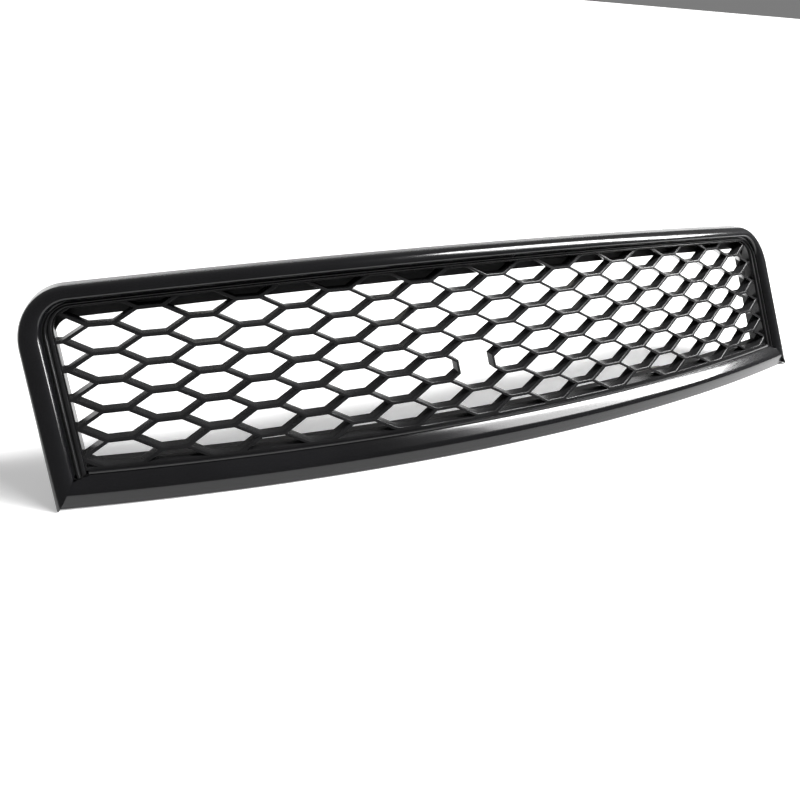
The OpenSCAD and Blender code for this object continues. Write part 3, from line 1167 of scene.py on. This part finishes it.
@dataclass
class RearFixings:
    """The brackets, keys, screws, nuts, collars and retainers kept from the frame."""

    finishes: Finishes

    def build(self) -> None:
        """Dresses every kept node."""
        f = self.finishes
        kinds = [
            (f.moulded, Softening.MOULDED, ["corner_key_left", "corner_key_right"]),
            (f.screw, Softening.SCREW, ["corner_key_screws", "rim_screws", "upper_bracket_screws",
                                        "lower_bracket_screws", "side_bracket_screws"]),
            (f.spring, Softening.SCREW, ["lower_spring_nuts"]),
            (f.sheet, Softening.PRESSED, ["lower_bracket_left", "lower_bracket_right"]),
            (f.moulded, Softening.PRESSED, ["side_bracket_left", "side_bracket_right"]),
            (f.rubber, Softening.PRESSED, ["peg_grommet_left", "peg_grommet_right"]),
            (f.nylon, Softening.MOULDED, ["retainer_sleeves"]),
            (f.sheet, Softening.PRESSED, [f"upper_bracket_{i}" for i in range(1, 5)]),
            (f.nylon, Softening.PRESSED, [f"retainer_pin_{i}" for i in range(1, 5)]),
        ]
        for material, softening, nodes in kinds:
            for node in nodes:
                dress(node, material, softening)


# ---------------------------------------------------------------- studio


@dataclass
class Studio:
    """A pale sweep of paper that glows as painted light, soft lights and the camera."""

    form: Form
    paper: Colour = (0.9, 0.9, 0.9)
    front: float = -6.0
    bend: float = 3.2
    bend_r: float = 1.6
    half: float = 9.0
    below: float = 0.0002
    painted_glow: Pair = (0.34, 0.85)
    painted_glow_top: float = 0.45
    room: float = 0.2
    key_place: Triple = (1.05, -0.2, 1.2)
    key_aim: Triple = (0.0, 0.0, 0.08)
    key_size: Pair = (0.3, 1.3)
    key_power: float = 44.0
    far_way: Triple = (-0.60, 0.16, -0.78)
    far_spread: float = math.radians(26.0)
    far_power: float = 2.2
    lens: float = 26.69
    eye: Triple = (-312.9, -497.0, 148.7)
    down: float = 0.440
    turn: float = -0.396

    def floor(self) -> None:
        """Builds the floor with its back curving up into a low wall, in metres. The paper glows as painted
        light, weakly on the floor and more strongly up the curve into the wall.
        """
        section = [(self.front, 0.0), (self.bend, 0.0)]
        section += [(self.bend + self.bend_r * math.sin(a), self.bend_r - self.bend_r * math.cos(a))
                    for a in [math.radians(6 * i) for i in range(1, 14)]]
        rows = [[Vector((x, y, z - self.below)) for y, z in section]
                for x in (-self.half, -self.half / 3, self.half / 3, self.half)]
        bm = bmesh.new()
        rows_to_faces(bm, rows, closed=False)
        n = Nodes("glowing_studio_paper")
        cloud = n.noise(3.0, 2.0)
        tint = n.ramp(cloud, "Fac", self.paper, tuple(c * 1.02 for c in self.paper), 0.3, 0.7)
        n.join(tint, "Color", n.shader, "Base Color")
        # painted light: the paper glows in its own colour, weakly on the floor and more strongly with
        # height up into the wall
        n.join(tint, "Color", n.shader, "Emission Color")
        height = n.add("ShaderNodeSeparateXYZ")
        n.join(n.place, "Object", height, "Vector")
        painted_glow = n.spread(height, "Z", *self.painted_glow)
        painted_glow.inputs["From Max"].default_value = self.painted_glow_top
        n.join(painted_glow, "Result", n.shader, "Emission Strength")
        n.shader.inputs["Roughness"].default_value = 0.9
        n.fixed(specular=0.1)
        piece = finish_piece(bm, "studio_floor", n.material, Shading.ROUND, recalc=False)
        for polygon in piece.data.polygons:
            if polygon.normal.z < -0.01:
                polygon.flip()

    def panel(self, name: str, place: Vector, aim: Vector, size: Pair, power: float) -> None:
        """Adds one soft light.

        Args:
            name: the light's name.
            place: its position.
            aim: the point that it faces.
            size: width and height of its face.
            power: its power in watts.
        """
        data = bpy.data.lights.new(name, "AREA")
        data.shape = "RECTANGLE"
        data.size, data.size_y = size
        data.energy = power
        lamp = bpy.data.objects.new(name, data)
        lamp.location = place
        lamp.rotation_euler = (aim - place).to_track_quat("-Z", "Y").to_euler()
        bpy.context.scene.collection.objects.link(lamp)

    def lights(self) -> None:
        """Sets the room's light, the soft panel and the broad light above."""
        world = bpy.data.worlds.new("studio")
        world.use_nodes = True
        background = world.node_tree.nodes["Background"]
        background.inputs["Color"].default_value = (1.0, 1.0, 1.0, 1.0)
        background.inputs["Strength"].default_value = self.room
        bpy.context.scene.world = world
        bpy.context.scene.view_settings.view_transform = "Standard"
        self.panel("key_panel", Vector(self.key_place), Vector(self.key_aim), self.key_size,
                   self.key_power)
        sky = bpy.data.lights.new("far_softbox", "SUN")
        sky.energy = self.far_power
        sky.angle = self.far_spread
        far = bpy.data.objects.new("far_softbox", sky)
        far.rotation_euler = Vector(self.far_way).to_track_quat("-Z", "Y").to_euler()
        bpy.context.scene.collection.objects.link(far)

    def camera(self) -> None:
        """Sets the camera in front of the left end, above the face."""
        data = bpy.data.cameras.new("camera")
        data.sensor_width = 36.0
        data.lens = self.lens
        eye = bpy.data.objects.new("camera", data)
        eye.location = self.form.free(*self.eye)
        eye.rotation_euler = (math.pi / 2 - self.down, 0.0, self.turn)
        bpy.context.scene.collection.objects.link(eye)
        bpy.context.scene.camera = eye

    def build(self) -> None:
        """Builds the whole studio."""
        self.camera()
        self.floor()
        self.lights()


def main() -> None:
    """Builds the looks over the frame."""
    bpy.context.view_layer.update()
    form = Form()
    finishes = Finishes()
    Studio(form).build()
    SurroundTube(form, finishes.gloss).build()
    LowerBar(form, finishes.gloss).build()
    MeshRim(form, finishes.rim).build()
    Honeycomb(form, finishes.mesh).build()
    FoamStrips("bonnet_seal", "bonnet_seal_foam", finishes.foam).build()
    FoamStrips("anti_rattle_pads", "leg_pads_foam", finishes.foam).build()
    RearFixings(finishes).build()


if __name__ == "__main__":
    main()
